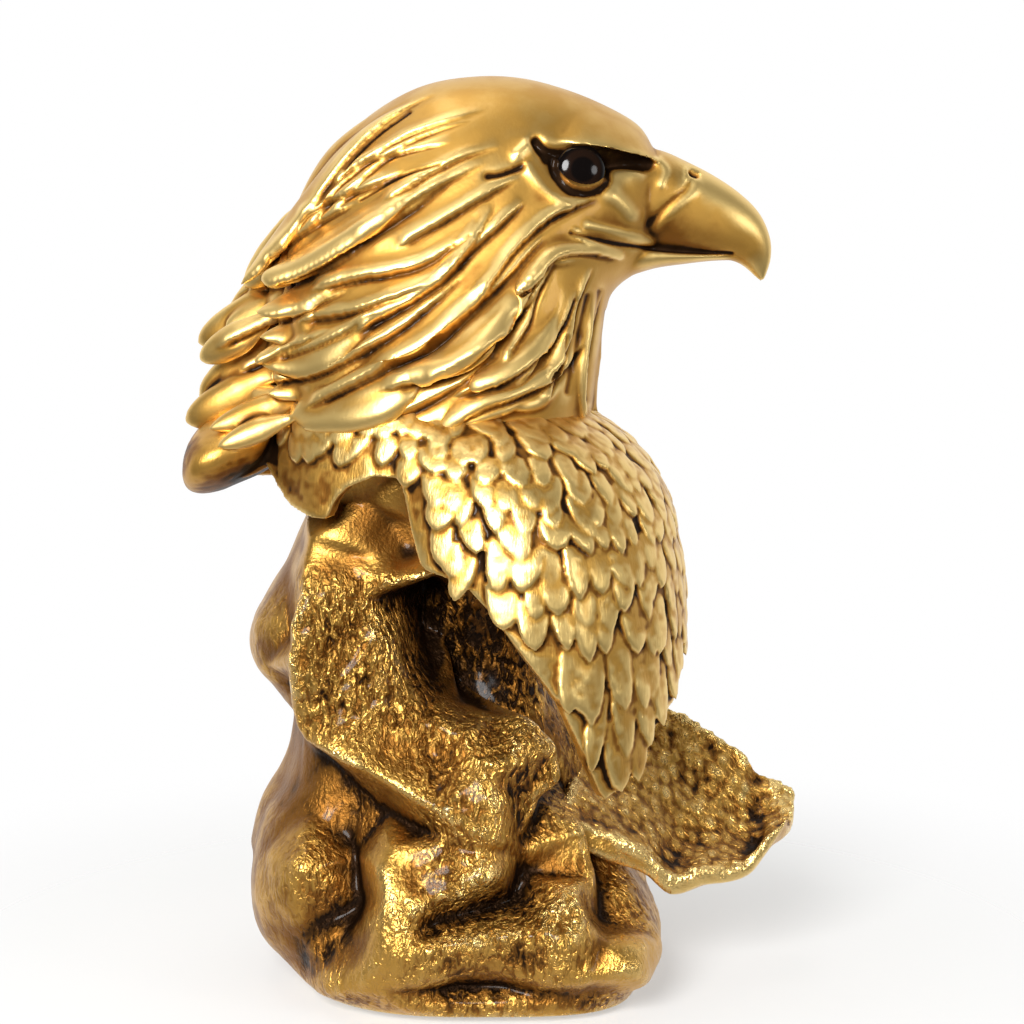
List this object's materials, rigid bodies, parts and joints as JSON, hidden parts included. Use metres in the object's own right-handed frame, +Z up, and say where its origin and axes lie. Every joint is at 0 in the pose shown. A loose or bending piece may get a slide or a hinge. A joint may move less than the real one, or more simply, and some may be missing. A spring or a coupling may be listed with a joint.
{
  "type": "eagle bust pole stand",
  "caption": "Gilt eagle bust with feathered cape on a craggy rock base with a side ledge, weighted below, with a pole socket behind.",
  "frame": {"origin": "centre of the overall box, on the floor under the felt pads", "axes": "+X the way the beak points (right in the picture), +Y away from the picture's viewpoint, +Z up"},
  "size_m": [0.1658, 0.15, 0.25],
  "materials": {
    "gilt_rock": "satin",
    "gilt_feathers": "satin",
    "eye_glass": "polished",
    "pin_steel": "satin",
    "ballast_iron": "matte",
    "plate_board": "matte",
    "screw_steel": "satin",
    "pad_felt": "matte",
    "sleeve_brass": "satin",
    "cushion_rubber": "matte"
  },
  "bodies": {
    "root": {"ballast": "ballast_iron", "base_plate": "plate_board", "cape_dowel_1": "pin_steel", "cape_dowel_2": "pin_steel", "eagle_head": "gilt_feathers", "eye_left": "eye_glass", "eye_right": "eye_glass", "feather_cape": "gilt_feathers", "foot_pad_1": "pad_felt", "foot_pad_2": "pad_felt", "foot_pad_3": "pad_felt", "foot_pad_4": "pad_felt", "head_dowel_1": "pin_steel", "head_dowel_2": "pin_steel", "ledge_dowel_1": "pin_steel", "ledge_dowel_2": "pin_steel", "plate_screw_1": "screw_steel", "plate_screw_2": "screw_steel", "plate_screw_3": "screw_steel", "plate_screw_4": "screw_steel", "pole_cushion": "cushion_rubber", "pole_sleeve": "sleeve_brass", "rock_base": "gilt_rock", "rock_ledge": "gilt_rock"}
  },
  "joints": []
}
